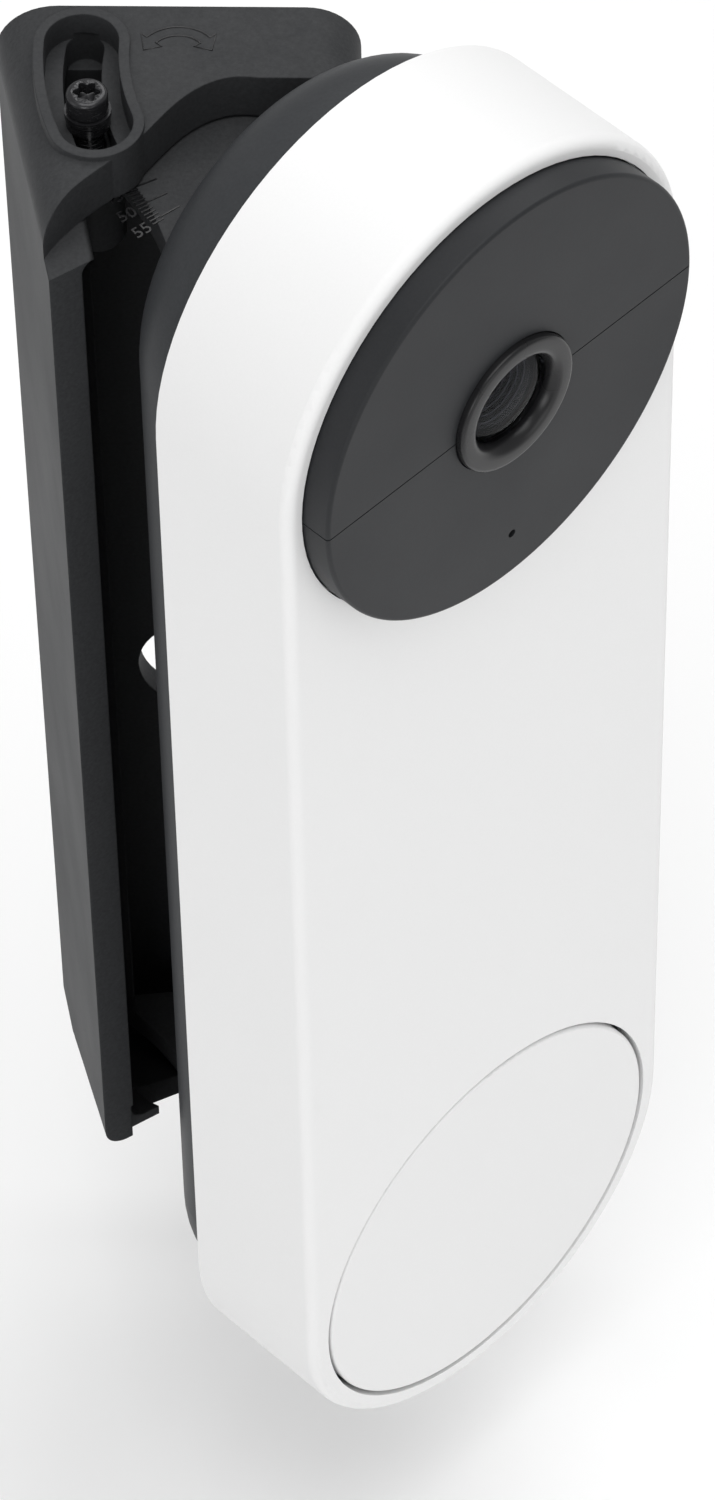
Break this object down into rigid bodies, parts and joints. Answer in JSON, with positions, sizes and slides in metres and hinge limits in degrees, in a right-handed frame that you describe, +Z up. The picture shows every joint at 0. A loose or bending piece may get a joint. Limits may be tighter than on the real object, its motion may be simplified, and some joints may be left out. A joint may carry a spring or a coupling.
{
  "type": "video doorbell",
  "caption": "Battery video doorbell with a round camera cover and push button on a hinged wedge mount that turns it 35 to 55 degrees from the wall.",
  "frame": {"origin": "centre of the wall face of the angle mount", "axes": "+Z up along the wall, +Y into the wall, -Y towards the visitor, +X to the right along the wall"},
  "size_m": [0.0579, 0.0486, 0.16],
  "materials": {
    "white_shell": "satin, finely moulded",
    "dark_shell": "matte, fine grain",
    "mount_plastic": "matte, moulded grain",
    "cover_plastic": "fine matte",
    "ring_plastic": "satin",
    "lens_glass": "coated",
    "optics_black": "flat",
    "button_plastic": "satin",
    "diffuser": "frosted",
    "board": "solder mask",
    "tin": "tinned",
    "copper": "bare",
    "brass": "turned",
    "steel": "plain",
    "black_steel": "black oxide",
    "cell_wrap": "shrink film",
    "foam": "closed cell",
    "inner_plastic": "moulded",
    "emitter_resin": "clear resin"
  },
  "bodies": {
    "base": {"wall_base": "mount_plastic", "hinge_pin": "steel"},
    "bell": {"swivel_bracket": "mount_plastic", "thread_insert": "brass", "clamp_washer": "black_steel", "clamp_sleeve": "black_steel", "catch_spring": "steel", "front_housing": "white_shell", "rear_housing": "dark_shell", "housing_seal": "foam", "housing_screws": "black_steel", "camera_cover_upper": "cover_plastic", "camera_cover_lower": "cover_plastic", "lens_ring": "ring_plastic", "lens_glass": "lens_glass", "lens_baffle": "optics_black", "lens_barrel": "optics_black", "camera_frame": "inner_plastic", "camera_board": "board", "infrared_emitters": "emitter_resin", "microphone": "tin", "motion_sensor": "tin", "light_ring": "diffuser", "button_frame": "inner_plastic", "button_switch": "tin", "button_board": "board", "loudspeaker": "inner_plastic", "speaker_seal": "foam", "battery": "cell_wrap", "battery_pad": "foam", "main_board": "board", "shield_can": "tin", "battery_connector": "inner_plastic", "aerial": "copper", "terminal_block": "inner_plastic", "terminal_screws": "brass", "usb_socket": "tin", "reset_switch": "tin"},
    "button": {"button_cap": "button_plastic"},
    "screw": {"clamp_screw": "black_steel"},
    "catch": {"release_catch": "mount_plastic"},
    "key": {"reset_key": "inner_plastic"}
  },
  "joints": [
    {"name": "swivel", "type": "hinge", "parent": "base", "child": "bell", "pos_m": [0.0172, -0.0052, 0], "axis": [0, 0, 1], "range_deg": [-11.5, 8.5]},
    {"name": "clamp_turn", "type": "hinge", "parent": "bell", "child": "screw", "pos_m": [-0.00687, -0.01138, 0.065], "axis": [0, 0, 1], "continuous": true},
    {"name": "button_press", "type": "slide", "parent": "bell", "child": "button", "axis": [-0.7254, 0.6884, 0], "range_m": [0, 0.0006], "stiffness_N_per_m": 2500, "springref_m": -0.0002},
    {"name": "catch_slide", "type": "slide", "parent": "bell", "child": "catch", "axis": [0, 0, -1], "range_m": [0, 0.0015], "stiffness_N_per_m": 1500, "springref_m": -0.001, "deforming": ["catch_spring"]},
    {"name": "key_press", "type": "slide", "parent": "bell", "child": "key", "axis": [0.7254, -0.6884, 0], "range_m": [0, 0.0004], "stiffness_N_per_m": 1500, "springref_m": -0.0002}
  ]
}
